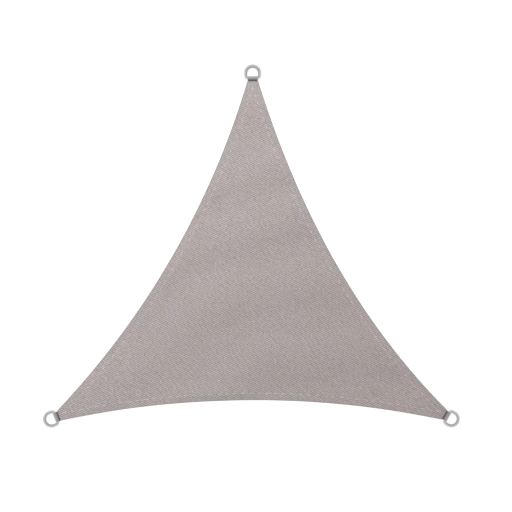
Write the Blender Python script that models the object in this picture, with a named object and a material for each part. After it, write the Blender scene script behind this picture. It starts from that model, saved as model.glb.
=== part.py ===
"""Triangular shade sail, 2 m between its ring bars, lying flat on the ground with its top face up.

One knitted cloth with a hem turned under along three inward-curved edges, a webbing strap under each blunt
corner, and a steel D-ring held by its bar in the fold of each strap. Metres, +Z up. The origin is under the
middle of the whole sail, on the surface that it lies on.
"""
import math
from collections import namedtuple

import bmesh
import bpy
import numpy as np
from mathutils import Matrix, Vector, geometry

# Cloth
CLOTH_THICK = 0.0015
HEM_WIDTH = 0.040
HEM_THICK = 2 * CLOTH_THICK
HEM_STEP = 0.002            # run of the raw edge under the hem, from hem thickness to cloth thickness
HEM_EASE = 0.025            # run over which the top face sinks from the hem to the cloth

# Webbing straps
WEB_WIDTH = 0.050
WEB_THICK = 0.0016
TAIL_LENGTH = 0.070         # how far both legs of a strap run under the cloth
TAIL_MARGIN = 0.013         # how far past a tail the cloth stays level with it
TAIL_EASE = 0.230           # run over which the cloth then comes down to the ground
THROAT = 0.015              # from the bar's middle to where the upper leg lands on the lower one
THROAT_RADIUS = 0.002

# D-rings, measured along the middle of the bent wire
WIRE_DIA = 0.016
RING_WIDTH = 0.072
RING_LENGTH = 0.060
RING_CORNER = 0.0105

GAP = 0.0003                # clearance between pieces that touch
CLOTH_SETBACK = 0.0173      # from the bar's middle to the blunt end of the cloth

# Steps of the faceted surfaces
OUTLINE_STEPS = 44
END_FINENESS = 0.75         # how much closer together the steps of an edge are at its ends, from 0 to 1
BLUNT_STEPS = 4
GRID_PITCH = 0.036
CORNER_PITCH = 0.013
CORNER_REACH = 0.135
WIRE_SIDES = 12
CROWN_STEPS = 15            # odd, so that one step lies square across the crown
BEND_STEPS = 5
WRAP_STEPS = 18
THROAT_STEPS = 4
CREST_STEPS = 16            # points on a crest from one row of its table to the next
MEETING_TRIES = 30          # halvings that find where two inset lines meet
SAME_POINT = 1e-7           # points closer than this are one corner of the mesh

# The three corners. bar_x, bar_y: middle of the ring's bar. heading: degrees from +X in which the ring
# points. end_width: length of the cloth's blunt end, which lies square to the heading. end_side: how far that
# end's middle lies beside the ring's, to the left when looking out along the heading.
Corner = namedtuple("Corner", "name bar_x bar_y heading end_width end_side")
CORNERS = (
    Corner("top", 0.0073, 0.8613, 90.74, 0.0564, 0.0),
    Corner("left", -1.0003, -0.8759, 201.55, 0.0535, -0.0021),
    Corner("right", 1.0035, -0.8719, 329.57, 0.0560, 0.0),
)

# The three edges, each from one corner to the next. sag: how far the middle bows inward from the straight
# line. skew: how far the bow leans toward the edge's end (positive) or its start (negative).
Edge = namedtuple("Edge", "name start end sag skew")
EDGES = (
    Edge("left", "top", "left", 0.116, 0.0),
    Edge("bottom", "left", "right", 0.1005, 0.0),
    Edge("right", "right", "top", 0.119, -0.10),
)

# Ripples of the cloth. Each row is a point on the crest of one ripple, from its left to its right.
# height: how far the crest rises there. reach: how far the ripple's foot lies from the crest, to both sides.
Crest = namedtuple("Crest", "ripple x y height reach")
CRESTS = (
    Crest("upper", -0.32, 0.250, 0.0105, 0.150),
    Crest("upper", -0.15, 0.330, 0.0075, 0.150),
    Crest("upper", 0.02, 0.370, 0.0085, 0.180),
    Crest("upper", 0.22, 0.435, 0.0110, 0.150),
    Crest("middle", -0.42, -0.100, 0.0085, 0.210),
    Crest("middle", -0.22, 0.030, 0.0085, 0.195),
    Crest("middle", 0.00, 0.060, 0.0115, 0.205),
    Crest("middle", 0.18, 0.140, 0.0120, 0.190),
    Crest("middle", 0.36, 0.160, 0.0090, 0.160),
    Crest("long", -0.86, -0.885, 0.0085, 0.105),
    Crest("long", -0.68, -0.670, 0.0105, 0.205),
    Crest("long", -0.45, -0.510, 0.0080, 0.210),
    Crest("long", -0.20, -0.295, 0.0135, 0.210),
    Crest("long", 0.07, -0.225, 0.0095, 0.210),
    Crest("long", 0.33, -0.180, 0.0110, 0.210),
    Crest("long", 0.60, -0.270, 0.0030, 0.205),
    Crest("foot", -0.34, -0.850, 0.0100, 0.205),
    Crest("foot", -0.15, -0.785, 0.0135, 0.210),
    Crest("foot", 0.04, -0.600, 0.0125, 0.210),
    Crest("foot", 0.28, -0.580, 0.0085, 0.210),
    Crest("foot", 0.55, -0.525, 0.0100, 0.210),
    Crest("foot", 0.84, -0.565, 0.0140, 0.210),
)
RIPPLE_SUNK = 0.0012        # how much of a ripple's foot lies flat on the ground
RIPPLE_SOFT = 0.0012        # height over which it then leaves the ground softly
EDGE_SHARE = 0.45           # share of a ripple's height that is left at the cloth's edge
EDGE_EASE = 0.040           # run inside the edge over which a ripple gains its full height

# Materials: colour, roughness, metallic
CLOTH_FINISH = ((0.41, 0.365, 0.358), 0.9, 0.0)
WEB_FINISH = ((0.27, 0.28, 0.275), 0.8, 0.0)
STEEL_FINISH = ((0.52, 0.52, 0.53), 0.35, 1.0)

SMOOTH_ANGLE = math.radians(35)

# A strap's bend rests on the ground, round the bar, and its legs meet behind the bar, level with its middle.
# The ring leans down from there until a flat of its crown meets the ground.
BAR_HEIGHT = WIRE_DIA / 2 + GAP + WEB_THICK
TAIL_RISE = (GAP + WEB_THICK) / 2
TAIL_TOP = BAR_HEIGHT + TAIL_RISE + WEB_THICK / 2
WIRE_FLAT = WIRE_DIA / 2 * math.cos(math.pi / WIRE_SIDES)
WIRE_FLAT_HALF = WIRE_DIA / 2 * math.sin(math.pi / WIRE_SIDES)
RING_TILT = math.asin((BAR_HEIGHT - WIRE_FLAT) / (RING_LENGTH + WIRE_FLAT_HALF))


def clear_scene():
    for item in list(bpy.data.objects):
        bpy.data.objects.remove(item, do_unlink=True)


def finish_material(name, finish):
    colour, roughness, metallic = finish
    material = bpy.data.materials.new(name)
    material.use_nodes = True
    shader = material.node_tree.nodes["Principled BSDF"]
    shader.inputs["Base Color"].default_value = (*colour, 1.0)
    shader.inputs["Roughness"].default_value = roughness
    shader.inputs["Metallic"].default_value = metallic
    material.diffuse_color = (*colour, 1.0)
    return material


def add_object(name, maker, material):
    """Make one closed mesh object from a bmesh, shaded smooth except at its hard edges."""
    mesh = bpy.data.meshes.new(name)
    bmesh.ops.recalc_face_normals(maker, faces=maker.faces)
    maker.to_mesh(mesh)
    maker.free()
    mesh.shade_smooth()
    mesh.set_sharp_from_angle(angle=SMOOTH_ANGLE)
    mesh.materials.append(material)
    item = bpy.data.objects.new(name, mesh)
    bpy.context.scene.collection.objects.link(item)
    return item


def smooth_step(value):
    value = min(max(value, 0.0), 1.0)
    return value * value * (3 - 2 * value)


def corner(name):
    return next(row for row in CORNERS if row.name == name)


def out_of(row):
    heading = math.radians(row.heading)
    return Vector((math.cos(heading), math.sin(heading)))


def blunt_end(row):
    """The two ends of a corner's blunt edge, in counter-clockwise order round the sail."""
    out = out_of(row)
    left = Vector((-out.y, out.x))
    middle = Vector((row.bar_x, row.bar_y)) - out * CLOTH_SETBACK + left * row.end_side
    return middle - left * (row.end_width / 2), middle + left * (row.end_width / 2)


# ---------------------------------------------------------------------------------------------- outline


def edge_line(edge):
    """Start, direction along, direction inward and length of an edge's straight line."""
    start = blunt_end(corner(edge.start))[1]
    end = blunt_end(corner(edge.end))[0]
    along = (end - start).normalized()
    inward = Vector((-along.y, along.x))
    return start, along, inward, (end - start).length


def bow(edge, part):
    """How far the edge lies inward of its straight line at a part (0 to 1) of its length."""
    return 4 * edge.sag * part * (1 - part) * (1 + edge.skew * (2 * part - 1))


def bow_slope(edge, part, length):
    step = 0.001
    return (bow(edge, part + step) - bow(edge, part - step)) / (2 * step * length)


def edge_point(edge, part, inset):
    """A point a given distance inside the edge."""
    start, along, inward, length = edge_line(edge)
    slope = bow_slope(edge, part, length)
    normal = (inward - along * slope).normalized()
    return start + along * (part * length) + inward * bow(edge, part) + normal * inset


def inset_from(edge, point):
    """How far a point lies inside one edge."""
    start, along, inward, length = edge_line(edge)
    part = (point - start).dot(along) / length
    slope = bow_slope(edge, part, length)
    return ((point - start).dot(inward) - bow(edge, part)) / math.hypot(1, slope)


def inset_of(point):
    """How far a point lies inside the nearest edge."""
    return min(inset_from(edge, point) for edge in EDGES)


def meeting_part(edge, inset, outer, inner):
    """The part of an edge's length where its inset line meets that of the next edge."""
    others = [other for other in EDGES if other is not edge]
    for _ in range(MEETING_TRIES):
        middle = (outer + inner) / 2
        point = edge_point(edge, middle, inset)
        if min(inset_from(other, point) for other in others) < inset:
            outer = middle
        else:
            inner = middle
    return inner


def edge_part(step):
    """The part of an edge's length at one of its steps."""
    even = step / OUTLINE_STEPS
    return even - END_FINENESS * math.sin(2 * math.pi * even) / (2 * math.pi)


def outline_loop():
    """The cloth's outline, counter-clockwise, with its three blunt ends."""
    points = []
    for edge in EDGES:
        points += [edge_point(edge, edge_part(step), 0.0) for step in range(OUTLINE_STEPS)]
        first, last = blunt_end(corner(edge.end))
        points += [first.lerp(last, step / BLUNT_STEPS) for step in range(BLUNT_STEPS)]
    return points


def inset_loop(inset):
    """A closed line at one distance inside all three edges."""
    points = []
    for edge in EDGES:
        low = meeting_part(edge, inset, 0.0, 0.5)
        high = meeting_part(edge, inset, 1.0, 0.5)
        for step in range(OUTLINE_STEPS):
            points.append(edge_point(edge, low + (high - low) * edge_part(step), inset))
    return points


# ------------------------------------------------------------------------------------------------ cloth


def crest_line(ripple):
    """A smooth curve through one ripple's rows: x, y, height and reach at each of its points."""
    rows = [np.array(row[1:]) for row in CRESTS if row.ripple == ripple]
    rows = [2 * rows[0] - rows[1], *rows, 2 * rows[-1] - rows[-2]]
    line = []
    for before, start, end, after in zip(rows, rows[1:], rows[2:], rows[3:]):
        for step in range(CREST_STEPS):
            part = step / CREST_STEPS
            slope = (end - before) * part
            bend = (2 * before - 5 * start + 4 * end - after) * part ** 2
            twist = (3 * start - before - 3 * end + after) * part ** 3
            line.append(start + (slope + bend + twist) / 2)
    return np.array([*line, rows[-2]])


CREST_LINES = [crest_line(ripple) for ripple in dict.fromkeys(row.ripple for row in CRESTS)]


def ripple_lift(point):
    """How far the ripples lift a point. Between them the cloth lies flat on the ground."""
    rise = -RIPPLE_SUNK
    for line in CREST_LINES:
        away = np.hypot(line[:, 0] - point.x, line[:, 1] - point.y)
        nearest = away.argmin()
        height, reach = line[nearest, 2:]
        rise += height * math.cos(min(away[nearest] / reach, 1.0) * math.pi / 2) ** 2
    if rise < 2 * RIPPLE_SOFT:
        return max(rise, 0.0) ** 2 / (4 * RIPPLE_SOFT)
    return rise - RIPPLE_SOFT


def tail_hold(row, point):
    """How fully a corner's strap tail holds up a point of the cloth: 1 over the tail, 0 away from it."""
    out = out_of(row)
    offset = point - Vector((row.bar_x, row.bar_y))
    run = -offset.dot(out)
    side = abs(offset.x * out.y - offset.y * out.x)
    beyond = math.hypot(max(run - CLOTH_SETBACK - TAIL_LENGTH, 0.0), max(side - WEB_WIDTH / 2, 0.0))
    return 1 - smooth_step((beyond - TAIL_MARGIN) / TAIL_EASE)


def lift_of(point, inset):
    """Height of the cloth's underside, hem aside, over the ground."""
    ripples = ripple_lift(point) * (EDGE_SHARE + (1 - EDGE_SHARE) * smooth_step(inset / EDGE_EASE))
    hold = max(tail_hold(row, point) for row in CORNERS)
    return ripples * (1 - hold) + (TAIL_TOP + GAP) * hold


def cloth_heights(point):
    """Heights of the underside and the top face at a point."""
    inset = inset_of(point)
    hem_fall = smooth_step((inset - HEM_WIDTH) / HEM_EASE)
    top = lift_of(point, inset) + HEM_THICK - (HEM_THICK - CLOTH_THICK) * hem_fall
    under_step = min(max((inset - HEM_WIDTH) / HEM_STEP, 0.0), 1.0)
    thick = HEM_THICK - (HEM_THICK - CLOTH_THICK) * under_step
    return max(top - thick, 0.0), top


def grid_points(taken):
    """Even points inside the cloth, closer together over the strap tails, clear of those already taken."""
    bars = [Vector((row.bar_x, row.bar_y)) for row in CORNERS]
    points = []

    def near_corner(point):
        return min((point - bar).length for bar in bars) < CORNER_REACH

    def fill(low, high, pitch, wanted):
        rise = pitch * math.sqrt(3) / 2
        for row in range(int((high.y - low.y) / rise) + 1):
            shift = pitch / 2 if row % 2 else 0.0
            for column in range(int((high.x - low.x) / pitch) + 1):
                point = Vector((low.x + shift + column * pitch, low.y + row * rise))
                if not wanted(point) or inset_of(point) < pitch / 2:
                    continue
                if min((point - other).length for other in taken) < pitch / 2:
                    continue
                points.append(point)

    low = Vector((min(bar.x for bar in bars), min(bar.y for bar in bars)))
    high = Vector((max(bar.x for bar in bars), max(bar.y for bar in bars)))
    fill(low, high, GRID_PITCH, lambda point: not near_corner(point))
    for row, bar in zip(CORNERS, bars):
        out = out_of(row)
        reach = Vector((CORNER_REACH, CORNER_REACH))
        fill(bar - reach, bar + reach, CORNER_PITCH,
             lambda point: near_corner(point) and (bar - point).dot(out) > CLOTH_SETBACK + CORNER_PITCH / 2)
    return points


def build_cloth(material):
    """The cloth and its hem: a flat sheet of triangles, extruded up and then shaped by height."""
    loops = [outline_loop(), inset_loop(HEM_WIDTH), inset_loop(HEM_WIDTH + HEM_STEP)]
    points = []
    lines = []
    for loop in loops:
        first = len(points)
        points += loop
        lines += [(first + i, first + (i + 1) % len(loop)) for i in range(len(loop))]
    points += grid_points(points)
    inside_only = 1
    flat_points, _, triangles, *_ = geometry.delaunay_2d_cdt(points, lines, [], inside_only, SAME_POINT)

    maker = bmesh.new()
    corners = [maker.verts.new((point.x, point.y, 0.0)) for point in flat_points]
    faces = [maker.faces.new([corners[i] for i in triangle]) for triangle in triangles]
    raised = bmesh.ops.extrude_face_region(maker, geom=faces, use_keep_orig=True)
    tops = [item for item in raised["geom"] if isinstance(item, bmesh.types.BMVert)]
    for vert in tops:
        vert.co.z = cloth_heights(vert.co.xy)[1]
    for vert in corners:
        vert.co.z = cloth_heights(vert.co.xy)[0]
    return add_object("sail_cloth", maker, material)


# ------------------------------------------------------------------------------------------ straps, rings


def arc(centre, radius, first, last, steps):
    """Points on a round bend, from one angle in degrees to another."""
    turns = [math.radians(first + (last - first) * step / steps) for step in range(steps + 1)]
    return [centre + radius * Vector((math.cos(turn), math.sin(turn))) for turn in turns]


def strap_middle_line():
    """The webbing's middle line from its lower tail, round the bar, to its upper tail.

    Its points are (out, up) pairs from the bar's middle, and its lower half mirrors its upper half.
    """
    radius = WIRE_DIA / 2 + GAP + WEB_THICK / 2
    landing = Vector((-THROAT, TAIL_RISE))
    leave = math.degrees(math.atan2(landing.y, landing.x) - math.acos(radius / landing.length))
    setback = THROAT_RADIUS * math.tan(math.radians(leave - 90) / 2)
    bend = arc(landing + Vector((-setback, THROAT_RADIUS)), THROAT_RADIUS, 180 + leave, 270, THROAT_STEPS)
    upper = [*bend, Vector((-CLOTH_SETBACK - TAIL_LENGTH, TAIL_RISE))]
    lower = [Vector((point.x, -point.y)) for point in reversed(upper)]
    return lower + arc(Vector((0.0, 0.0)), radius, -leave, leave, WRAP_STEPS) + upper


def side_line(line, offset):
    """A line beside another, a given distance to its left, with mitred corners."""
    shifted = []
    for i, point in enumerate(line):
        before = (point - line[i - 1]).normalized() if i else None
        after = (line[i + 1] - point).normalized() if i + 1 < len(line) else None
        before = before or after
        after = after or before
        left = Vector((-before.y - after.y, before.x + after.x)).normalized()
        stretch = left.dot(Vector((-after.y, after.x)))
        shifted.append(point + left * (offset / stretch))
    return shifted


def build_strap(row, material):
    """One length of webbing folded round the ring's bar, its outline extruded across its width."""
    line = strap_middle_line()
    profile = side_line(line, WEB_THICK / 2) + side_line(line, -WEB_THICK / 2)[::-1]
    maker = bmesh.new()
    corners = [maker.verts.new((-WEB_WIDTH / 2, point.x, point.y)) for point in profile]
    side = maker.faces.new(corners)
    pulled = bmesh.ops.extrude_face_region(maker, geom=[side], use_keep_orig=True)
    moved = [item for item in pulled["geom"] if isinstance(item, bmesh.types.BMVert)]
    bmesh.ops.translate(maker, verts=moved, vec=(WEB_WIDTH, 0.0, 0.0))
    strap = add_object(f"strap_{row.name}", maker, material)
    strap.location = (row.bar_x, row.bar_y, BAR_HEIGHT)
    strap.rotation_euler = (0.0, 0.0, math.radians(row.heading - 90))
    return strap


def ring_path():
    """The D-ring's middle line as (across, out) points, counter-clockwise from the bar's right end."""
    half = RING_WIDTH / 2
    right = Vector((half - RING_CORNER, RING_CORNER))
    left = Vector((RING_CORNER - half, RING_CORNER))
    crown = Vector((0.0, RING_LENGTH - half))
    return [
        *arc(right, RING_CORNER, -90, 0, BEND_STEPS),
        *arc(crown, half, 0, 180, CROWN_STEPS),
        *arc(left, RING_CORNER, 180, 270, BEND_STEPS),
    ]


def build_ring(row, material):
    """A round bar bent to a D: many-sided wire sections, mitred at each bend and joined in a closed loop."""
    path = ring_path()
    maker = bmesh.new()
    sections = []
    for i, point in enumerate(path):
        before = (point - path[i - 1]).normalized()
        after = (path[(i + 1) % len(path)] - point).normalized()
        outward = Vector((before.y + after.y, -before.x - after.x)).normalized()
        stretch = outward.dot(Vector((after.y, -after.x)))
        section = []
        for side in range(WIRE_SIDES):
            turn = 2 * math.pi * (side + 0.5) / WIRE_SIDES
            spot = point + outward * (WIRE_DIA / 2 * math.cos(turn) / stretch)
            section.append(maker.verts.new((spot.x, spot.y, WIRE_DIA / 2 * math.sin(turn))))
        sections.append(section)
    for i, section in enumerate(sections):
        following = sections[(i + 1) % len(sections)]
        for side in range(WIRE_SIDES):
            other = (side + 1) % WIRE_SIDES
            maker.faces.new((section[side], section[other], following[other], following[side]))
    ring = add_object(f"ring_{row.name}", maker, material)
    ring.matrix_world = (
        Matrix.Translation((row.bar_x, row.bar_y, BAR_HEIGHT))
        @ Matrix.Rotation(math.radians(row.heading - 90), 4, "Z")
        @ Matrix.Rotation(-RING_TILT, 4, "X")
    )
    return ring


def build_sail():
    clear_scene()
    cloth_material = finish_material("knitted_cloth", CLOTH_FINISH)
    web_material = finish_material("webbing", WEB_FINISH)
    steel_material = finish_material("steel", STEEL_FINISH)
    build_cloth(cloth_material)
    for row in CORNERS:
        build_strap(row, web_material)
        build_ring(row, steel_material)


build_sail()
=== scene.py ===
"""Looks of the triangular shade sail: knitted cloth with a sewn hem, webbing straps and steel D-rings.

The sail lies flat on a pale floor with its top face up. Metres, +Z up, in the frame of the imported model.
"""

import math
from collections import namedtuple

import bpy
import numpy as np
from mathutils import Matrix, Vector, geometry


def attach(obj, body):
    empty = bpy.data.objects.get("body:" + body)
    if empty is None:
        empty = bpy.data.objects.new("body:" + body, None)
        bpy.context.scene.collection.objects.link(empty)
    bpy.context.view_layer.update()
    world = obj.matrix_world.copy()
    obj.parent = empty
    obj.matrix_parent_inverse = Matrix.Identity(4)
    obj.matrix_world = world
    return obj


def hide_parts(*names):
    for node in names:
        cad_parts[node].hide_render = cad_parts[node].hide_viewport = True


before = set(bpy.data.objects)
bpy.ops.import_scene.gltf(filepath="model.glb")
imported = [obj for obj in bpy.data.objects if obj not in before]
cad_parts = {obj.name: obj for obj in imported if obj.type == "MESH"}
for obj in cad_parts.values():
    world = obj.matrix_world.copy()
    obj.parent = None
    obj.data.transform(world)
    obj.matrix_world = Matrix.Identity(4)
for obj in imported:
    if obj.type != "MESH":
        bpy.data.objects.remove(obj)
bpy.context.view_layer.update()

# ----------------------------------------------------------------------------- sizes of the solids
# They repeat part.py's, apart from the two that say so.

CLOTH_THICK = 0.0015
HEM_WIDTH = 0.040
HEM_THICK = 2 * CLOTH_THICK
# The top face sinks from the hem to the cloth over this run. The solids have a shorter one, but the photo
# shows no step.
HEM_EASE = 0.070

WEB_WIDTH = 0.050
WEB_THICK = 0.0016
TAIL_LENGTH = 0.070         # how far both legs of a strap run under the cloth
TAIL_MARGIN = 0.013         # how far past a tail the cloth stays level with it
TAIL_EASE = 0.230           # run over which the cloth then comes down to the ground
THROAT = 0.015              # from the bar's middle to where the two legs meet
THROAT_RADIUS = 0.002

WIRE_DIA = 0.016
RING_WIDTH = 0.072
RING_LENGTH = 0.060
RING_CORNER = 0.0105
RING_LEAN = math.radians(2.006)

GAP = 0.0003
CLOTH_SETBACK = 0.0173      # from the bar's middle to the blunt end of the cloth
BAR_HEIGHT = WIRE_DIA / 2 + GAP + WEB_THICK
TAIL_RISE = (GAP + WEB_THICK) / 2
TAIL_TOP = BAR_HEIGHT + TAIL_RISE + WEB_THICK / 2

Corner = namedtuple("Corner", "name bar_x bar_y heading end_width end_side")
CORNERS = (
    Corner("top", 0.0073, 0.8613, 90.74, 0.0564, 0.0),
    Corner("left", -1.0003, -0.8759, 201.55, 0.0535, -0.0021),
    Corner("right", 1.0035, -0.8719, 329.57, 0.0560, 0.0),
)

# The left and right edges are bowed 1.5 and 0.7 mm less than in the solids, as the photo shows them.
Edge = namedtuple("Edge", "name start end sag skew")
EDGES = (
    Edge("left", "top", "left", 0.1145, 0.0),
    Edge("bottom", "left", "right", 0.1005, 0.0),
    Edge("right", "right", "top", 0.1183, -0.10),
)

# The tops of the ripples: how high each stands at a place, and how far it reaches to either side.
Crest = namedtuple("Crest", "ripple x y height reach")
CRESTS = (
    Crest("upper", -0.32, 0.250, 0.0105, 0.150),
    Crest("upper", -0.15, 0.330, 0.0075, 0.150),
    Crest("upper", 0.02, 0.370, 0.0085, 0.180),
    Crest("upper", 0.22, 0.435, 0.0110, 0.150),
    Crest("middle", -0.42, -0.100, 0.0085, 0.210),
    Crest("middle", -0.22, 0.030, 0.0085, 0.195),
    Crest("middle", 0.00, 0.060, 0.0115, 0.205),
    Crest("middle", 0.18, 0.140, 0.0120, 0.190),
    Crest("middle", 0.36, 0.160, 0.0090, 0.160),
    Crest("long", -0.86, -0.885, 0.0085, 0.105),
    Crest("long", -0.68, -0.670, 0.0105, 0.205),
    Crest("long", -0.45, -0.510, 0.0080, 0.210),
    Crest("long", -0.20, -0.295, 0.0135, 0.210),
    Crest("long", 0.07, -0.225, 0.0095, 0.210),
    Crest("long", 0.33, -0.180, 0.0110, 0.210),
    Crest("long", 0.60, -0.270, 0.0030, 0.205),
    Crest("foot", -0.34, -0.850, 0.0100, 0.205),
    Crest("foot", -0.15, -0.785, 0.0135, 0.210),
    Crest("foot", 0.04, -0.600, 0.0125, 0.210),
    Crest("foot", 0.28, -0.580, 0.0085, 0.210),
    Crest("foot", 0.55, -0.525, 0.0100, 0.210),
    Crest("foot", 0.84, -0.565, 0.0140, 0.210),
)
RIPPLE_SUNK = 0.0012        # how far the ripples' feet are sunk, so that the cloth lies flat between them
RIPPLE_SOFT = 0.0012        # the height over which those feet are rounded
EDGE_SHARE = 0.45           # share of a ripple's height that is left at the cloth's edge
EDGE_EASE = 0.040

# ----------------------------------------------------------------------------- sizes of the finish

SEAM_INSET = 0.0355         # from the cloth's edge to the line of stitches
SEAM_DEPTH = 0.0003         # how far the stitches draw the hem in
SEAM_REACH = 0.0030
HEM_PUFF = 0.0001           # how far the hem stands up between its edge and its stitches
PUCKER = 0.0004             # height of the small waves that the stitches draw into the hem
PUCKER_LENGTH = 0.046
PUCKER_REACH = 5 * SEAM_REACH
PUCKER_SWAY = 1.7           # how unevenly the puckers are spaced, in radians
PUCKER_SWAY_RATE = 11.0     # radians a metre
RAW_EDGE = 0.0006           # run of the raw edge under the hem

STITCH_PITCH = 0.0059
STITCH_LENGTH = 0.0050
STITCH_PLACES = (-0.5, -0.42, -0.25, 0.0, 0.25, 0.42, 0.5)      # along a stitch, in its own length
STITCH_RISE = (-1.0, -0.1, 0.75, 1.0, 0.75, -0.1, -1.0)         # its height there, in the thread's radius
STITCH_STAND = 0.2          # how far it is raised from the top face, in the thread's radius
SEAM_SAMPLES = 2001
SEAM_LOOK = 0.001           # how far ahead and behind a stitch its direction is measured
DASH_PERIOD = 0.0419        # the seam's stitches show on top in one short run after another
DASH_SHARE = 0.50           # how much of the period a run takes up
DASH_START = {"left": 0.0185, "bottom": 0.0161, "right": 0.0136}    # where the first run begins
TOP_THREAD = 0.00077        # thread radius
UNDER_THREAD = 0.00034
THREAD_SIDES = 6
UNDER_PROUD = 0.0002        # how far the stitches stand out of the hem's underside

BOX_WIDTH = 0.037           # the box of stitches that holds each strap's tails to the cloth
BOX_LENGTH = 0.056
BOX_START = 0.0245          # from the bar's middle
BOX_PITCH = 0.0040
BOX_STITCH = 0.0034
BOX_THREAD = 0.00036

# The cloth's mesh has lines of points at these distances inside its outline, and even points inside those.
INSETS = (0.0, 0.0002, 0.0006, 0.0015, 0.003, 0.007, 0.013, 0.020, 0.027, 0.0315, 0.034, 0.0348,
          0.0355, 0.0362, 0.037, 0.0388, 0.040, 0.0406, 0.044, 0.050, 0.057, 0.065)
LOOP_PITCH = 0.008
FIELD_PITCH = 0.011
FIELD_CLEAR = 0.6 * FIELD_PITCH
MEETING_TRIES = 30
SAME_POINT = 1e-7
CREST_STEPS = 24            # points from one row of a crest to the next


# ------------------------------------------------------------------------------------- the outline


def smooth_step(value):
    """0 up to 0, 1 from 1 on, and a smooth rise between."""
    value = np.clip(value, 0.0, 1.0)
    return value * value * (3 - 2 * value)


def corner(name):
    return next(row for row in CORNERS if row.name == name)


def out_of(row):
    """The direction that a corner points in."""
    heading = math.radians(row.heading)
    return np.array((math.cos(heading), math.sin(heading)))


def left_of(direction):
    """The direction a quarter turn to the left of another."""
    return np.array((-direction[1], direction[0]))


def blunt_end(row):
    """The two ends of a corner's blunt edge, in counter-clockwise order round the sail."""
    out = out_of(row)
    left = left_of(out)
    middle = np.array((row.bar_x, row.bar_y)) - out * CLOTH_SETBACK + left * row.end_side
    return middle - left * (row.end_width / 2), middle + left * (row.end_width / 2)


# One side of the outline: where it starts, the directions along and inward, and how it is bowed.
Side = namedtuple("Side", "start along inward length sag skew")


def side_between(start, end, sag=0.0, skew=0.0):
    length = math.hypot(*(end - start))
    along = (end - start) / length
    return Side(start, along, left_of(along), length, sag, skew)


def bow(side, part):
    """How far a side lies inward of its straight line at a part (0 to 1) of its length."""
    return 4 * side.sag * part * (1 - part) * (1 + side.skew * (2 * part - 1))


def bow_slope(side, part):
    """How fast the bow deepens there, for each metre along."""
    lean = (1 - 2 * part) * (1 + side.skew * (2 * part - 1)) + 2 * side.skew * part * (1 - part)
    return 4 * side.sag * lean / side.length


def side_point(side, part, inset):
    """Points a given distance inside a side."""
    part = np.atleast_1d(part)[:, None]
    slope = bow_slope(side, part)
    normal = (side.inward - side.along * slope) / np.hypot(1, slope)
    return side.start + side.along * part * side.length + side.inward * bow(side, part) + normal * inset


def inset_from(side, points):
    """How far points lie inside one side."""
    part = (points - side.start) @ side.along / side.length
    return ((points - side.start) @ side.inward - bow(side, part)) / np.hypot(1, bow_slope(side, part))


def inset_of(points, sides):
    """How far points lie inside the nearest of some sides."""
    return np.min([inset_from(side, points) for side in sides], axis=0)


def all_sides():
    """The sail's three bowed edges and three blunt ends by turns, counter-clockwise."""
    sides = []
    for edge in EDGES:
        end = blunt_end(corner(edge.end))
        sides.append(side_between(blunt_end(corner(edge.start))[1], end[0], edge.sag, edge.skew))
        sides.append(side_between(*end))
    return sides


SIDES = all_sides()
HEMMED = SIDES[0::2]
BLUNT = SIDES[1::2]


def meeting_part(side, inset, others, clearance, outer):
    """The part of a side's length where its inset line comes to a distance from the other sides."""
    inner = 0.5
    for _ in range(MEETING_TRIES):
        middle = (outer + inner) / 2
        if inset_of(side_point(side, middle, inset), others)[0] < clearance:
            outer = middle
        else:
            inner = middle
    return inner


def inset_loop(inset):
    """A closed line at one distance inside the whole outline."""
    runs = []
    for side in SIDES:
        others = [other for other in SIDES if other is not side]
        if inset_of(side_point(side, 0.5, inset), others)[0] <= inset:
            continue
        low = meeting_part(side, inset, others, inset, 0.0) if inset else 0.0
        high = meeting_part(side, inset, others, inset, 1.0) if inset else 1.0
        steps = max(2, round((high - low) * side.length / LOOP_PITCH))
        runs.append(side_point(side, low + (high - low) * np.arange(steps) / steps, inset))
    return np.concatenate(runs)


# ---------------------------------------------------------------------------- heights of the cloth


def crest_line(ripple):
    """A smooth curve through one ripple's rows: x, y, height and reach at each of its points."""
    rows = [np.array(row[1:]) for row in CRESTS if row.ripple == ripple]
    rows = [2 * rows[0] - rows[1], *rows, 2 * rows[-1] - rows[-2]]
    line = []
    for before, start, end, after in zip(rows, rows[1:], rows[2:], rows[3:]):
        for step in range(CREST_STEPS):
            part = step / CREST_STEPS
            slope = (end - before) * part
            bend = (2 * before - 5 * start + 4 * end - after) * part ** 2
            twist = (3 * start - before - 3 * end + after) * part ** 3
            line.append(start + (slope + bend + twist) / 2)
    return np.array([*line, rows[-2]])


CREST_LINES = [crest_line(ripple) for ripple in dict.fromkeys(row.ripple for row in CRESTS)]


def ripple_lift(points):
    """How far the ripples lift points. Between them the cloth lies flat on the ground."""
    rise = np.full(len(points), -RIPPLE_SUNK)
    for line in CREST_LINES:
        away = np.hypot(points[:, :1] - line[:, 0], points[:, 1:] - line[:, 1])
        nearest = away.argmin(axis=1)
        height, reach = line[nearest, 2], line[nearest, 3]
        off = np.minimum(away[np.arange(len(points)), nearest] / reach, 1.0)
        rise += height * np.cos(off * math.pi / 2) ** 2
    soft = np.maximum(rise, 0.0) ** 2 / (4 * RIPPLE_SOFT)
    return np.where(rise < 2 * RIPPLE_SOFT, soft, rise - RIPPLE_SOFT)


def tail_hold(row, points):
    """How fully a corner's strap tail holds up points of the cloth: 1 over it, 0 away from it."""
    out = out_of(row)
    offset = points - np.array((row.bar_x, row.bar_y))
    run = -offset @ out
    side = np.abs(offset @ left_of(out))
    past_end = np.maximum(run - CLOTH_SETBACK - TAIL_LENGTH, 0.0)
    past_side = np.maximum(side - WEB_WIDTH / 2, 0.0)
    beyond = np.hypot(past_end, past_side)
    return 1 - smooth_step((beyond - TAIL_MARGIN) / TAIL_EASE)


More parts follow.
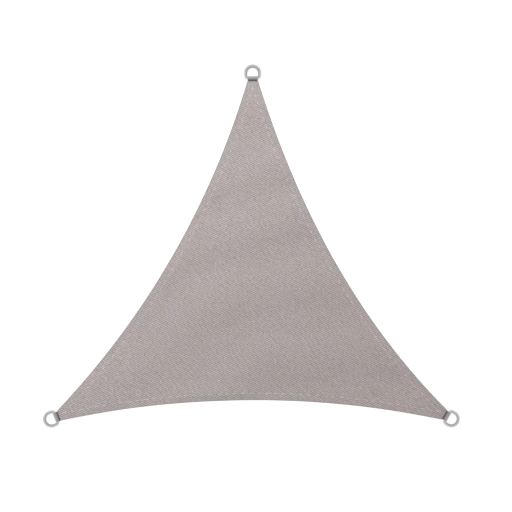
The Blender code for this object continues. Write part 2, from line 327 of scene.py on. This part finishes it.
def hem_run(points):
    """How far along its nearest hem each point lies."""
    away = np.array([inset_from(side, points) for side in HEMMED])
    runs = np.array([(points - side.start) @ side.along for side in HEMMED])
    return runs[away.argmin(axis=0), np.arange(len(points))]


def cloth_heights(points):
    """Heights of the cloth's underside and top face, with the hem, its seam's groove and its puckers."""
    inset = inset_of(points, HEMMED)
    hold = np.max([tail_hold(row, points) for row in CORNERS], axis=0)
    ripples = ripple_lift(points) * (EDGE_SHARE + (1 - EDGE_SHARE) * smooth_step(inset / EDGE_EASE))
    lift = ripples * (1 - hold) + (TAIL_TOP + GAP) * hold

    top = lift + HEM_THICK - (HEM_THICK - CLOTH_THICK) * smooth_step((inset - HEM_WIDTH) / HEM_EASE)
    layer = np.clip((inset - HEM_WIDTH) / RAW_EDGE, 0.0, 1.0)
    thick = HEM_THICK - (HEM_THICK - CLOTH_THICK) * layer

    groove = SEAM_DEPTH * np.exp(-((inset - SEAM_INSET) / SEAM_REACH) ** 2)
    puff = HEM_PUFF * np.sin(math.pi * np.clip(inset / SEAM_INSET, 0.0, 1.0)) ** 2
    run = hem_run(points)
    wave = np.sin(2 * math.pi * run / PUCKER_LENGTH + PUCKER_SWAY * np.sin(run * PUCKER_SWAY_RATE))
    near_seam = np.exp(-((inset - SEAM_INSET) / PUCKER_REACH) ** 2)
    pucker = PUCKER * wave * near_seam
    under = np.maximum(top + pucker - thick, 0.0)
    top = top + pucker + puff - groove

    # The fold at the edge is round.
    edge = HEM_THICK / 2
    depth = np.clip(inset_of(points, SIDES), 0.0, edge)
    shrink = edge - np.sqrt(edge ** 2 - (edge - depth) ** 2)
    return under + shrink, top - shrink


# ------------------------------------------------------------------------------------------ meshes


def add_values(piece, name, values):
    """Keep one number for each corner of a mesh, for its material to read."""
    attribute = piece.data.attributes.new(name, "FLOAT", "POINT")
    attribute.data.foreach_set("value", np.asarray(values, np.float32))


def add_piece(name, corners, faces, material, slot):
    """Make one mesh object that rides with the object's one body."""
    mesh = bpy.data.meshes.new(name)
    mesh.from_pydata([tuple(point) for point in corners], [], [tuple(face) for face in faces])
    mesh.validate()
    mesh.shade_smooth()
    mesh.materials.append(material)
    piece = bpy.data.objects.new(name, mesh)
    bpy.context.scene.collection.objects.link(piece)
    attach(piece, "root")
    return piece


def field_points():
    """Even points inside the hem's lines."""
    low = np.min([side.start for side in SIDES], axis=0)
    high = np.max([side.start for side in SIDES], axis=0)
    rise = FIELD_PITCH * math.sqrt(3) / 2
    rows = np.arange(low[1], high[1], rise)
    points = []
    for i, y in enumerate(rows):
        xs = np.arange(low[0] + FIELD_PITCH / 2 * (i % 2), high[0], FIELD_PITCH)
        points.append(np.stack([xs, np.full(len(xs), y)], axis=1))
    points = np.concatenate(points)
    return points[inset_of(points, SIDES) > INSETS[-1] + FIELD_CLEAR]


def make_cloth(material):
    """The cloth and its hem as one closed skin: a sheet of triangles, doubled and joined at the fold."""
    points = np.empty((0, 2))
    lines = []
    for inset in INSETS:
        loop = inset_loop(inset)
        first = len(points)
        points = np.concatenate([points, loop])
        lines += [(first + i, first + (i + 1) % len(loop)) for i in range(len(loop))]
    points = np.concatenate([points, field_points()])
    inside_only = 1
    flat, _, triangles, *_ = geometry.delaunay_2d_cdt(points.tolist(), lines, [], inside_only, SAME_POINT)
    flat = np.array([tuple(point) for point in flat])
    triangles = np.array(triangles)

    pairs = np.concatenate([triangles[:, [0, 1]], triangles[:, [1, 2]], triangles[:, [2, 0]]])
    pairs, uses = np.unique(np.sort(pairs, axis=1), axis=0, return_counts=True)
    on_edge = np.zeros(len(flat), bool)
    on_edge[pairs[uses == 1].ravel()] = True

    under, top = cloth_heights(flat)
    below = np.where(on_edge, np.arange(len(flat)), len(flat) + np.cumsum(~on_edge) - 1)
    upper = np.column_stack([flat, np.where(on_edge, (under + top) / 2, top)])
    lower = np.column_stack([flat, under])[~on_edge]
    faces = np.concatenate([triangles, below[triangles][:, ::-1]])
    cloth = add_piece("knitted_cloth", np.concatenate([upper, lower]), faces, material, "cloth")

    everywhere = np.concatenate([flat, flat[~on_edge]])
    add_values(cloth, "edge_inset", inset_of(everywhere, SIDES))
    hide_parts("sail_cloth")
    return cloth


def skin(steps, sides, first=0, closed=False):
    """The faces between rings of corners that follow one another, counted from a first corner."""
    faces = []
    for step in range(steps if closed else steps - 1):
        here = first + step * sides
        following = first + (step + 1) % steps * sides
        for side in range(sides):
            other = (side + 1) % sides
            faces.append((here + side, here + other, following + other, following + side))
    return faces


def end_faces(steps, sides, first=0):
    """The two faces that close such a row of rings."""
    last = first + (steps - 1) * sides
    return [tuple(range(first, first + sides))[::-1], tuple(range(last, last + sides))]


def tubes(lines, radii, sides):
    """Round tubes with closed ends along many lines at once, as corners and faces.

    lines: one row of points for each tube, none of them upright. radii: a radius for each of them.
    """
    count, steps, _ = lines.shape
    travel = np.gradient(lines, axis=1)
    travel /= np.linalg.norm(travel, axis=2, keepdims=True)
    across = np.cross(travel, (0.0, 0.0, 1.0))
    across /= np.linalg.norm(across, axis=2, keepdims=True)
    off = np.cross(across, travel)
    turns = 2 * math.pi * np.arange(sides) / sides
    rings = np.cos(turns)[:, None] * across[:, :, None, :] + np.sin(turns)[:, None] * off[:, :, None, :]
    corners = (lines[:, :, None, :] + rings * radii[:, :, None, None]).reshape(-1, 3)
    faces = []
    for first in range(0, count * steps * sides, steps * sides):
        faces += skin(steps, sides, first) + end_faces(steps, sides, first)
    return corners, faces


def run_along(line):
    """How far along a line each of its points is."""
    return np.concatenate([[0.0], np.cumsum(np.linalg.norm(np.diff(line, axis=0), axis=1))])


def places_on(line, run, spots):
    """The places on a line at some distances along it."""
    return np.stack([np.interp(spots, run, line[:, axis]) for axis in (0, 1)], axis=1)


def seam_stitches(side):
    """Middles and directions of the stitches of one hem, and how far along its seam each is."""
    low = meeting_part(side, SEAM_INSET, BLUNT, STITCH_PITCH / 2, 0.0)
    high = meeting_part(side, SEAM_INSET, BLUNT, STITCH_PITCH / 2, 1.0)
    line = side_point(side, np.linspace(low, high, SEAM_SAMPLES), SEAM_INSET)
    run = run_along(line)
    count = int(run[-1] / STITCH_PITCH)
    spots = (np.arange(count) + 0.5) * run[-1] / count
    along = places_on(line, run, spots + SEAM_LOOK) - places_on(line, run, spots - SEAM_LOOK)
    return places_on(line, run, spots), along / np.linalg.norm(along, axis=1, keepdims=True), spots


def stitches(middles, along, length, heights, radius, face):
    """Stitches on one face of the cloth: its top, 1, or its underside, -1.

    The thread of each comes out at one end, lies along the cloth and goes in at the other.
    """
    places = np.array(STITCH_PLACES) * length
    flat = middles[:, None, :] + along[:, None, :] * places[:, None]
    z = heights[:, None] + radius * face * np.array(STITCH_RISE)
    lines = np.concatenate([flat, z[:, :, None]], axis=2)
    return tubes(lines, np.full(lines.shape[:2], radius), THREAD_SIDES)


def joined(meshes):
    """The corners and faces of several meshes as one."""
    corners, faces = [], []
    first = 0
    for points, polygons in meshes:
        corners.append(points)
        faces += [tuple(first + i for i in polygon) for polygon in polygons]
        first += len(points)
    return np.concatenate(corners), faces


def make_hem_thread(material):
    """The seam inside all three edges: short runs of stitches on top, and finer ones all along beneath."""
    meshes = []
    for edge, side in zip(EDGES, HEMMED):
        middles, along, spots = seam_stitches(side)
        under, top = cloth_heights(middles)
        shown = (spots - DASH_START[edge.name]) / DASH_PERIOD % 1.0 < DASH_SHARE
        raised = top[shown] + STITCH_STAND * TOP_THREAD
        meshes.append(stitches(middles[shown], along[shown], STITCH_LENGTH, raised, TOP_THREAD, 1))
        lowered = under + 2 * UNDER_THREAD - UNDER_PROUD
        meshes.append(stitches(middles, along, STITCH_LENGTH, lowered, UNDER_THREAD, -1))
    return add_piece("hem_thread", *joined(meshes), material, "cloth")


def box_stitches(row):
    """Middles and directions of the stitches of one corner's box: its four sides and two diagonals."""
    out = out_of(row)
    left = left_of(out)
    near = np.array((row.bar_x, row.bar_y)) - out * BOX_START
    far = near - out * BOX_LENGTH
    half = left * BOX_WIDTH / 2
    spots = (near - half, near + half, far + half, far - half)
    middles, along = [], []
    for start, end in ((0, 1), (1, 2), (2, 3), (3, 0), (0, 2), (1, 3)):
        run = spots[end] - spots[start]
        count = round(math.hypot(*run) / BOX_PITCH)
        middles += [spots[start] + run * (i + 0.5) / count for i in range(count)]
        along += [run / math.hypot(*run)] * count
    return np.array(middles), np.array(along)


def make_corner_thread(material):
    """The stitches through the cloth and each strap's tails, on the cloth and under the lower tail."""
    boxes = [box_stitches(row) for row in CORNERS]
    middles = np.concatenate([box[0] for box in boxes])
    along = np.concatenate([box[1] for box in boxes])
    _, top = cloth_heights(middles)
    tail_under = np.full(len(middles), BAR_HEIGHT - TAIL_RISE - WEB_THICK / 2)
    above = stitches(middles, along, BOX_STITCH, top, BOX_THREAD, 1)
    below = stitches(middles, along, BOX_STITCH, tail_under, BOX_THREAD, -1)
    return add_piece("corner_thread", *joined([above, below]), material, "cloth")


# ------------------------------------------------------------------------------- webbing and rings


def arc(centre, radius, first, last, steps):
    """Points on a round bend, from one angle in degrees to another."""
    turns = np.radians(np.linspace(first, last, steps + 1))
    return np.array(centre) + radius * np.stack([np.cos(turns), np.sin(turns)], axis=1)


def even_line(line, pitch):
    """The same line with points at an even pitch, and how far along it each is."""
    run = run_along(line)
    spots = np.linspace(0.0, run[-1], round(run[-1] / pitch) + 1)
    return places_on(line, run, spots), spots


# Painted light and shade: how light the webbing is at some distances out of the corner from the bar's
# middle.
WEB_PAINTED_SHADES = ((-0.022, 0.20), (-0.019, 0.08), (-0.015, 0.07), (-0.012, 0.095), (-0.008, 0.173),
              (-0.004, 0.226), (0.0, 0.240), (0.004, 0.235), (0.008, 0.310), (0.010, 0.35))
# Painted light: how much lighter than that each fold's front is, by how the light falls on it; below zero,
# darker.
WEB_FRONT_LIGHT = {"top": -0.15, "left": 0.6, "right": 1.0}
# Painted reflection and shade: how light the steel is from the ring's inner side, at -1, to its outer side,
# at 1.
STEEL_PAINTED_SHADES = ((-1.0, 0.35), (-0.5, 0.46), (0.0, 0.535), (0.5, 0.65), (1.0, 0.72))

WRAP_STEPS = 60
THROAT_STEPS = 8
WEB_PITCH = 0.0009
WEB_RIBS = 17
RIB_POINTS = 4
WEB_RIB_DEPTH = 0.00022
WEB_PICK = 0.0026           # length of one thread's float along a rib
WEB_PICK_DEPTH = 0.00007


def strap_middle_line():
    """The webbing's middle line from its lower tail, round the bar, to its upper tail.

    Its points are (out of the corner, up) from the bar's middle.
    """
    radius = WIRE_DIA / 2 + GAP + WEB_THICK / 2
    landing = np.array((-THROAT, TAIL_RISE))
    leave = math.atan2(landing[1], landing[0]) - math.acos(radius / math.hypot(*landing))
    leave = math.degrees(leave)
    setback = THROAT_RADIUS * math.tan(math.radians(leave - 90) / 2)
    bend = arc(landing + (-setback, THROAT_RADIUS), THROAT_RADIUS, 180 + leave, 270, THROAT_STEPS)
    upper = np.concatenate([bend, [(-CLOTH_SETBACK - TAIL_LENGTH, TAIL_RISE)]])
    lower = upper[::-1] * (1, -1)
    return np.concatenate([lower, arc((0, 0), radius, -leave, leave, WRAP_STEPS), upper])


def corner_matrix(row, lean=0.0):
    """Where a corner's bar is: +X along the bar, +Y out of the corner."""
    place = Matrix.Translation((row.bar_x, row.bar_y, BAR_HEIGHT))
    return place @ Matrix.Rotation(math.radians(row.heading - 90), 4, "Z") @ Matrix.Rotation(-lean, 4, "X")


def moved(matrix, points):
    """Points in a corner's own axes, put where they are on the sail."""
    return points @ np.array(matrix.to_3x3()).T + np.array(matrix.translation)


def make_strap(row, material):
    """Ribbed webbing folded round the bar: its rounded, ribbed section carried along the middle line."""
    line, run = even_line(strap_middle_line(), WEB_PITCH)
    travel = np.gradient(line, axis=0)
    travel /= np.linalg.norm(travel, axis=1, keepdims=True)
    left = np.stack([-travel[:, 1], travel[:, 0]], axis=1)

    rib = WEB_WIDTH / WEB_RIBS
    face = np.linspace(-WEB_WIDTH / 2, WEB_WIDTH / 2, RIB_POINTS * WEB_RIBS + 1)[1:-1]
    section = [(x, 1.0) for x in face] + [(WEB_WIDTH / 2, 0.0)]
    section += [(x, -1.0) for x in face[::-1]] + [(-WEB_WIDTH / 2, 0.0)]
    section = np.array(section)
    index = np.floor((section[:, 0] + WEB_WIDTH / 2) / rib)
    dip = WEB_RIB_DEPTH * (1 - np.abs(np.sin(math.pi * (section[:, 0] + WEB_WIDTH / 2) / rib)))
    pick = WEB_PICK_DEPTH * np.cos(math.pi * (run[:, None] / WEB_PICK + index[None, :]))
    off = section[None, :, 1] * (WEB_THICK / 2 - dip[None, :] - WEB_PICK_DEPTH + pick)
    spots = line[:, None, :] + left[:, None, :] * off[:, :, None]
    across = np.broadcast_to(section[None, :, :1], spots[:, :, :1].shape)
    corners = np.concatenate([across, spots], axis=2)

    steps, sides, _ = corners.shape
    faces = end_faces(steps, sides) + skin(steps, sides)
    corners = corners.reshape(-1, 3)
    placed = moved(corner_matrix(row), corners)
    strap = add_piece(f"webbing_{row.name}", placed, faces, material, "webbing")
    # Painted light on the fold's front and painted shade in its throat, kept for the webbing's material.
    front_light = 1 + WEB_FRONT_LIGHT[row.name] * smooth_step(corners[:, 1] / (WIRE_DIA / 2))
    add_values(strap, "shade", front_light * np.interp(corners[:, 1], *zip(*WEB_PAINTED_SHADES)))
    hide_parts(f"strap_{row.name}")
    return strap


# How much more radius the wire of each ring's crown has than its bar, and the run over which it gains that.
RING_FULLER = {"top": 0.0017, "left": 0.0008, "right": 0.0005}
FULLER_EASE = 2 * WIRE_DIA
RING_SIDES = 32
RING_BEND_STEPS = 16
RING_CROWN_STEPS = 84
RING_STRAIGHT_STEPS = 12


def ring_path():
    """The D-ring's middle line as (across, out) points, counter-clockwise from the bar's right end."""
    half = RING_WIDTH / 2
    right = (half - RING_CORNER, RING_CORNER)
    left = (RING_CORNER - half, RING_CORNER)
    crown = (0.0, RING_LENGTH - half)
    bends = [
        arc(right, RING_CORNER, -90, 0, RING_BEND_STEPS),
        arc(crown, half, 0, 180, RING_CROWN_STEPS),
        arc(left, RING_CORNER, 180, 270, RING_BEND_STEPS),
    ]
    path = []
    for bend, following in zip(bends, [*bends[1:], bends[0]]):
        straight = np.linspace(bend[-1], following[0], RING_STRAIGHT_STEPS + 1)[1:-1]
        path += [*bend, *straight]
    return np.array(path)


def make_ring(row, material):
    """A round steel bar bent to a D and closed."""
    path = ring_path()
    travel = np.roll(path, -1, axis=0) - np.roll(path, 1, axis=0)
    travel /= np.linalg.norm(travel, axis=1, keepdims=True)
    outward = np.stack([travel[:, 1], -travel[:, 0]], axis=1)
    turns = 2 * math.pi * np.arange(RING_SIDES) / RING_SIDES
    # A fuller wire grows outward and upward, so that its inner side and its underside stay where they are.
    fuller = RING_FULLER[row.name] * smooth_step((path[:, 1:] - WIRE_DIA / 2) / FULLER_EASE)
    out = (WIRE_DIA / 2 + fuller) * np.cos(turns) + fuller
    up = (WIRE_DIA / 2 + fuller) * np.sin(turns) + fuller
    flat = path[:, None, :] + outward[:, None, :] * out[:, :, None]
    corners = np.concatenate([flat, up[:, :, None]], axis=2).reshape(-1, 3)
    steps = len(path)
    placed = moved(corner_matrix(row, RING_LEAN), corners)
    ring = add_piece(f"d_ring_{row.name}", placed, skin(steps, RING_SIDES, closed=True), material, "steel")
    # Painted reflection and shade round the wire, kept for the steel's material.
    add_values(ring, "shade", np.tile(np.interp(np.cos(turns), *zip(*STEEL_PAINTED_SHADES)), steps))
    add_values(ring, "along", np.repeat(run_along(path), RING_SIDES))
    add_values(ring, "outward", np.tile(np.cos(turns), steps) * WIRE_DIA / 2)
    add_values(ring, "upward", np.tile(np.sin(turns), steps) * WIRE_DIA / 2)
    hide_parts(f"ring_{row.name}")
    return ring


# --------------------------------------------------------------------------------------- materials


# Soft noise: the size of its lumps in metres, its detail, and how far it goes either way.
Drift = namedtuple("Drift", "size detail amount")


class Shader:
    """One material's nodes, with short ways to add and join them."""

    def __init__(self, name, roughness, metallic=0.0, specular=0.5):
        self.material = bpy.data.materials.new(name)
        self.material.use_nodes = True
        self.tree = self.material.node_tree
        self.surface = self.tree.nodes["Principled BSDF"]
        self.surface.inputs["Roughness"].default_value = roughness
        self.surface.inputs["Metallic"].default_value = metallic
        self.surface.inputs["Specular IOR Level"].default_value = specular
        self.place = self.tree.nodes.new("ShaderNodeTexCoord").outputs["Object"]
        parts = self.tree.nodes.new("ShaderNodeSeparateXYZ")
        self.tree.links.new(self.place, parts.inputs[0])
        self.x, self.y, _ = parts.outputs

    def feed(self, socket, value):
        if isinstance(value, bpy.types.NodeSocket):
            self.tree.links.new(value, socket)
        else:
            socket.default_value = value

    def math(self, operation, *values):
        node = self.tree.nodes.new("ShaderNodeMath")
        node.operation = operation
        for socket, value in zip(node.inputs, values):
            self.feed(socket, value)
        return node.outputs[0]

    def plus(self, *values):
        total = values[0]
        for value in values[1:]:
            total = self.math("ADD", total, value)
        return total

    def times(self, *values):
        total = values[0]
        for value in values[1:]:
            total = self.math("MULTIPLY", total, value)
        return total

    def scaled(self, value, amount, start):
        """A value times an amount, counted up from a start."""
        return self.math("MULTIPLY_ADD", value, amount, start)

    def wave(self, value, length):
        """A cosine of a place, from -1 to 1, that repeats at a length."""
        return self.math("COSINE", self.times(value, 2 * math.pi / length))

    def vector(self, x, y, z=0.0):
        node = self.tree.nodes.new("ShaderNodeCombineXYZ")
        for socket, value in zip(node.inputs, (x, y, z)):
            self.feed(socket, value)
        return node.outputs[0]

    def noise(self, size, detail, place=None, stretch=(1.0, 1.0, 1.0)):
        """Soft noise from -1 to 1 with lumps of about a size in metres."""
        sized = self.tree.nodes.new("ShaderNodeVectorMath")
        sized.operation = "MULTIPLY"
        self.feed(sized.inputs[0], place or self.place)
        sized.inputs[1].default_value = [1 / (size * share) for share in stretch]
        node = self.tree.nodes.new("ShaderNodeTexNoise")
        node.inputs["Scale"].default_value = 1.0
        node.inputs["Detail"].default_value = detail
        self.tree.links.new(sized.outputs[0], node.inputs["Vector"])
        return self.scaled(node.outputs["Fac"], 2.0, -1.0)

    def drift(self, row, **options):
        """A row's soft noise."""
        return self.times(self.noise(row.size, row.detail, **options), row.amount)

    def speckle(self, x, y):
        """An even random number from 0 to 1 for each whole x and y."""
        node = self.tree.nodes.new("ShaderNodeTexWhiteNoise")
        node.noise_dimensions = "2D"
        whole = self.vector(self.math("FLOOR", x), self.math("FLOOR", y))
        self.tree.links.new(whole, node.inputs["Vector"])
        return node.outputs["Value"]

    def tint(self, colour, shade, *drifts):
        """A colour times a shade. Each drift is None, or the share by which its channel is raised."""
        channels = [self.times(shade, level) for level in colour]
        for i, drift in enumerate(drifts):
            if drift is not None:
                channels[i] = self.times(channels[i], self.plus(drift, 1.0))
        return self.vector(*channels)

    def paint(self, colour):
        self.tree.links.new(colour, self.surface.inputs["Base Color"])

    def rough(self, value):
        self.tree.links.new(value, self.surface.inputs["Roughness"])

    def bump(self, height, distance, strength):
        node = self.tree.nodes.new("ShaderNodeBump")
        node.inputs["Strength"].default_value = strength
        node.inputs["Distance"].default_value = distance
        self.tree.links.new(height, node.inputs["Height"])
        self.tree.links.new(node.outputs["Normal"], self.surface.inputs["Normal"])

    def attribute(self, name):
        node = self.tree.nodes.new("ShaderNodeAttribute")
        node.attribute_name = name
        return node.outputs["Fac"]


KNIT_REPEAT_X = 0.0205      # the knit's lattice of open and close stitches
KNIT_REPEAT_Y = 0.01046
WALE = KNIT_REPEAT_X / 8    # width of one chain of loops
COURSE = KNIT_REPEAT_Y / 4  # height of one loop
CELL_WIDTH = 4 * WALE       # a few loops that are alike
CELL_HEIGHT = 2 * COURSE
LOOP_SLANT = 0.45 * COURSE
LOOP_RELIEF = 0.5           # share of a chain's relief that comes and goes with its loops
KNIT_DARK = 0.80            # how light the gaps between the loops are, with painted shade in them
KNIT_RELIEF = 0.34          # and how much lighter the loops' tops are, as painted light

# The slanting line of close and open loops, in radians a metre.
TWILL_X = 2 * math.pi * 48.75
TWILL_Y = 2 * math.pi * 95.3
TWILL_START = 2 * math.pi * -0.381
STRAIN = 2 * math.pi * 0.30     # the pull at the corners draws it out of true: radians a square metre
STRAIN_Y = 2 * math.pi * 0.234  # radians a metre
TWILL_SHADE = 0.020             # its least strength
TWILL_CELL = 0.44               # how much stronger it is in some cells of the knit
TWILL_PATCHES = Drift(0.013, 2.0, 0.32)
TWILL_RELIEF = 0.25

# A faint second line across the first.
BAND_X = 2 * math.pi * 36.7
BAND_Y = 2 * math.pi * 24.4
BAND_SHADE = 0.016

CELL_SHADE = 0.05           # how unlike each other the cells are
YARN_SHADE = 0.33           # and the loops
RIM_WIDTH = 0.0025          # painted shade: the fold along the edge is a little darker than the cloth
RIM_PAINTED_SHADE = 0.25
CLOTH_COLOUR = (0.3075, 0.2588, 0.2547)
CLOTH_CLOUDS = Drift(0.05, 3.0, 0.010)

# How the yarns wander from their straight lines, and how the cloth's colour drifts towards red and blue.
WANDER_X = Drift(0.16, 1.0, 0.0016)
WANDER_Y = Drift(0.13, 1.0, 0.0014)
WANDER_STRETCH = (1.8, 0.8, 1.0)
RED_DRIFTS = (Drift(0.09, 4.0, 0.072), Drift(0.40, 1.0, 0.042))
BLUE_DRIFTS = (Drift(0.06, 4.0, 0.074), Drift(0.30, 1.0, 0.03))


def knitted_cloth():
    """Shade cloth of uneven yarn: loops in cells, with a slanting line of close and open ones."""
    shader = Shader("knitted_cloth", roughness=0.85, specular=0.25)
    shader.surface.inputs["Sheen Weight"].default_value = 0.12
    shader.surface.inputs["Sheen Roughness"].default_value = 0.5
    x = shader.plus(shader.x, shader.drift(WANDER_X, stretch=WANDER_STRETCH))
    y = shader.plus(shader.y, shader.drift(WANDER_Y, stretch=WANDER_STRETCH))

    square = shader.plus(shader.times(shader.x, shader.x), shader.times(shader.y, shader.y))
    strain = shader.plus(shader.times(square, STRAIN), shader.times(shader.y, STRAIN_Y), TWILL_START)
    slanting = shader.plus(shader.times(x, TWILL_X), shader.times(y, TWILL_Y), strain)
    twill = shader.math("COSINE", slanting)
    band = shader.math("COSINE", shader.plus(shader.times(x, BAND_X), shader.times(y, BAND_Y)))
    cell = shader.speckle(shader.times(x, 1 / CELL_WIDTH), shader.times(y, 1 / CELL_HEIGHT))
    yarn = shader.speckle(shader.times(x, 1 / WALE), shader.times(y, 1 / COURSE))
    bead = shader.math("ABSOLUTE", shader.math("SINE", shader.times(x, math.pi / WALE)))
    slant = shader.times(shader.math("ABSOLUTE", shader.wave(x, 2 * WALE)), LOOP_SLANT)
    loop = shader.math("SINE", shader.times(shader.plus(y, slant), math.pi / COURSE))
    loop = shader.scaled(shader.math("ABSOLUTE", loop), LOOP_RELIEF, 1 - LOOP_RELIEF)
    knit = shader.times(bead, loop)

    shade = shader.plus(
        # painted shade in the gaps between the loops and painted light on their tops
        shader.scaled(knit, KNIT_RELIEF, KNIT_DARK),
        shader.times(twill, shader.scaled(cell, TWILL_CELL, TWILL_SHADE)),
        shader.times(twill, shader.drift(TWILL_PATCHES)),
        shader.times(band, BAND_SHADE),
        shader.scaled(cell, CELL_SHADE, -CELL_SHADE / 2),
        shader.scaled(yarn, YARN_SHADE, -YARN_SHADE / 2),
        shader.drift(CLOTH_CLOUDS),
    )
    # Painted shade along the fold at the cloth's edge.
    rim = shader.math("EXPONENT", shader.times(shader.attribute("edge_inset"), -1 / RIM_WIDTH))
    shade = shader.times(shade, shader.scaled(rim, -RIM_PAINTED_SHADE, 1.0))
    turned = shader.vector(shader.y, shader.x)
    red = shader.plus(*[shader.drift(row) for row in RED_DRIFTS])
    blue = shader.plus(*[shader.drift(row, place=turned) for row in BLUE_DRIFTS])
    shader.paint(shader.tint(CLOTH_COLOUR, shade, red, None, blue))
    relief = shader.plus(knit, shader.times(twill, TWILL_RELIEF))
    shader.bump(relief, distance=0.0005, strength=0.5)
    return shader.material


WEB_COLOUR = (1.045, 1.0, 1.0)
WEB_FADE = Drift(0.006, 3.0, 0.08)


def webbing():
    """Ribbed webbing, with painted light over the bar and painted shade where the fold closes behind it."""
    shader = Shader("webbing", roughness=0.75, specular=0.3)
    # The painted light and shade come from the strap's mesh.
    shade = shader.times(shader.attribute("shade"), shader.plus(shader.drift(WEB_FADE), 1.0))
    shader.paint(shader.tint(WEB_COLOUR, shade))
    shader.bump(shader.noise(size=0.0008, detail=2.0), distance=0.0001, strength=0.4)
    return shader.material


HEM_THREAD_COLOUR = (0.70, 0.645, 0.635)
CORNER_THREAD_COLOUR = (0.33, 0.29, 0.285)
THREAD_FADE = Drift(0.004, 2.0, 0.10)


def thread(name, colour):
    """Spun thread."""
    shader = Shader(name, roughness=0.55, specular=0.4)
    shader.paint(shader.tint(colour, shader.plus(shader.drift(THREAD_FADE), 1.0)))
    shader.bump(shader.noise(size=0.0006, detail=1.0), distance=0.0001, strength=0.5)
    return shader.material


STEEL_COLOUR = (1.0, 0.995, 0.995)
STEEL_ROUGHNESS = 0.42
DRAWN_SIZE = 0.0011         # fine lines from drawing the wire
DRAWN_STRETCH = (22.0, 1.0, 1.0)
DRAWN_SHADE = 0.16
DRAWN_ROUGHNESS = 0.15
STEEL_WORN = Drift(0.010, 4.0, 0.10)


def steel():
    """Satin steel, with a painted reflection that makes the ring's outer side brighter than its inner one.
    """
    shader = Shader("satin_steel", roughness=STEEL_ROUGHNESS, metallic=1.0)
    on_wire = shader.vector(*[shader.attribute(name) for name in ("along", "outward", "upward")])
    drawn = shader.noise(size=DRAWN_SIZE, detail=3.0, place=on_wire, stretch=DRAWN_STRETCH)
    marks = shader.plus(shader.times(drawn, DRAWN_SHADE), shader.drift(STEEL_WORN), 1.0)
    shader.paint(shader.tint(STEEL_COLOUR, shader.times(shader.attribute("shade"), marks)))
    shader.rough(shader.scaled(drawn, DRAWN_ROUGHNESS, STEEL_ROUGHNESS))
    shader.bump(drawn, distance=0.00006, strength=0.4)
    return shader.material


FLOOR_COLOUR = (0.28, 0.28, 0.28)
FLOOR_GLOW = 0.79           # the floor is a softly lit table, so next to no shadow shows on it
FLOOR_FADE = Drift(0.4, 2.0, 0.004)


def floor_finish():
    """A plain pale table, lit from within."""
    shader = Shader("pale_floor", roughness=0.9, specular=0.1)
    shader.paint(shader.tint(FLOOR_COLOUR, shader.plus(shader.drift(FLOOR_FADE), 1.0)))
    shader.surface.inputs["Emission Color"].default_value = (1.0, 1.0, 1.0, 1.0)
    shader.surface.inputs["Emission Strength"].default_value = FLOOR_GLOW
    return shader.material


# ------------------------------------------------------------------------------------------ studio

FRAME_WIDTH = 2.6255        # width of floor that the picture shows
LENS = 100.0
SENSOR = 36.0
AIM = (0.0241, -0.0503)
FLOOR_DROP = 0.0003         # room for the stitches that stand out under the hem
FLOOR_HALF = 40.0
SKY_STRENGTH = 0.943

Lamp = namedtuple("Lamp", "name place size power colour")
LAMPS = (
    Lamp("key", (0.0, 3.93, 2.00), 2.0, 156.0, (0.87, 1.0, 1.0)),
    Lamp("side", (-2.22, 0.0, 1.87), 1.4, 28.0, (0.87, 1.0, 1.0)),
)


def make_floor():
    size = FLOOR_HALF
    corners = [(-size, -size), (size, -size), (size, size), (-size, size)]
    mesh = bpy.data.meshes.new("floor")
    mesh.from_pydata([(x, y, -FLOOR_DROP) for x, y in corners], [], [(0, 1, 2, 3)])
    mesh.materials.append(floor_finish())
    floor = bpy.data.objects.new("floor", mesh)
    bpy.context.scene.collection.objects.link(floor)


def make_lights():
    scene = bpy.context.scene
    scene.world = bpy.data.worlds.new("studio")
    scene.world.use_nodes = True
    background = scene.world.node_tree.nodes["Background"]
    background.inputs["Color"].default_value = (1.0, 1.0, 1.0, 1.0)
    background.inputs["Strength"].default_value = SKY_STRENGTH
    for row in LAMPS:
        lamp = bpy.data.lights.new(row.name, "AREA")
        lamp.shape = "DISK"
        lamp.size = row.size
        lamp.energy = row.power
        lamp.color = row.colour
        light = bpy.data.objects.new(row.name, lamp)
        light.location = row.place
        light.visible_camera = False
        light.visible_glossy = False
        light.rotation_euler = (-Vector(row.place)).to_track_quat("-Z", "Y").to_euler()
        scene.collection.objects.link(light)
    scene.view_settings.view_transform = "Standard"


def make_camera():
    """Straight above the sail, with a long lens, as the picture is taken."""
    data = bpy.data.cameras.new("camera")
    data.lens = LENS
    data.sensor_width = SENSOR
    camera = bpy.data.objects.new("camera", data)
    camera.location = (*AIM, FRAME_WIDTH * LENS / SENSOR)
    bpy.context.scene.collection.objects.link(camera)
    bpy.context.scene.camera = camera


# ---------------------------------------------------------------------------------------- the sail

cloth = make_cloth(knitted_cloth())
hem_thread = make_hem_thread(thread("pale_thread", HEM_THREAD_COLOUR))
corner_thread = make_corner_thread(thread("grey_thread", CORNER_THREAD_COLOUR))
web_finish = webbing()
steel_finish = steel()
straps = [make_strap(row, web_finish) for row in CORNERS]
rings = [make_ring(row, steel_finish) for row in CORNERS]

make_floor()
make_lights()
make_camera()
